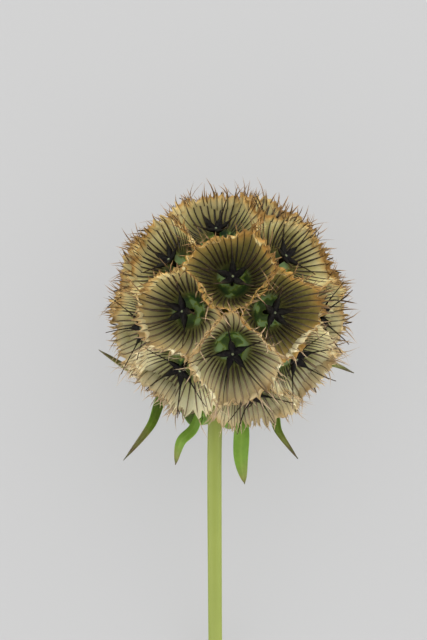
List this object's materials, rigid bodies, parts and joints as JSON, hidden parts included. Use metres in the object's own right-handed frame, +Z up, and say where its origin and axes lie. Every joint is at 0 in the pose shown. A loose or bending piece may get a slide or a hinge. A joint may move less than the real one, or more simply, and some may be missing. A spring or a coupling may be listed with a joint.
{
  "type": "scabious seed head",
  "caption": "Round papery scabious seed head of ribbed cups with dark star-shaped centres, on a short cut green stem with hanging bracts, lying on its side.",
  "frame": {"origin": "middle of the box's base, on the surface that the seed head lies on", "axes": "+Z up from the surface, +Y along the stem from its cut end towards the head, +X to the right seen from above"},
  "size_m": [0.0439, 0.0822, 0.0403],
  "materials": {
    "papery_cups": "dry, papery and slightly translucent, with dark ribs",
    "bract_green": "soft green leaf with brown tips",
    "stem_green": "matt pale green, finely hairy"
  },
  "bodies": {
    "root": {"seed_head": "papery_cups", "bracts": "bract_green", "stem": "stem_green"}
  },
  "joints": []
}
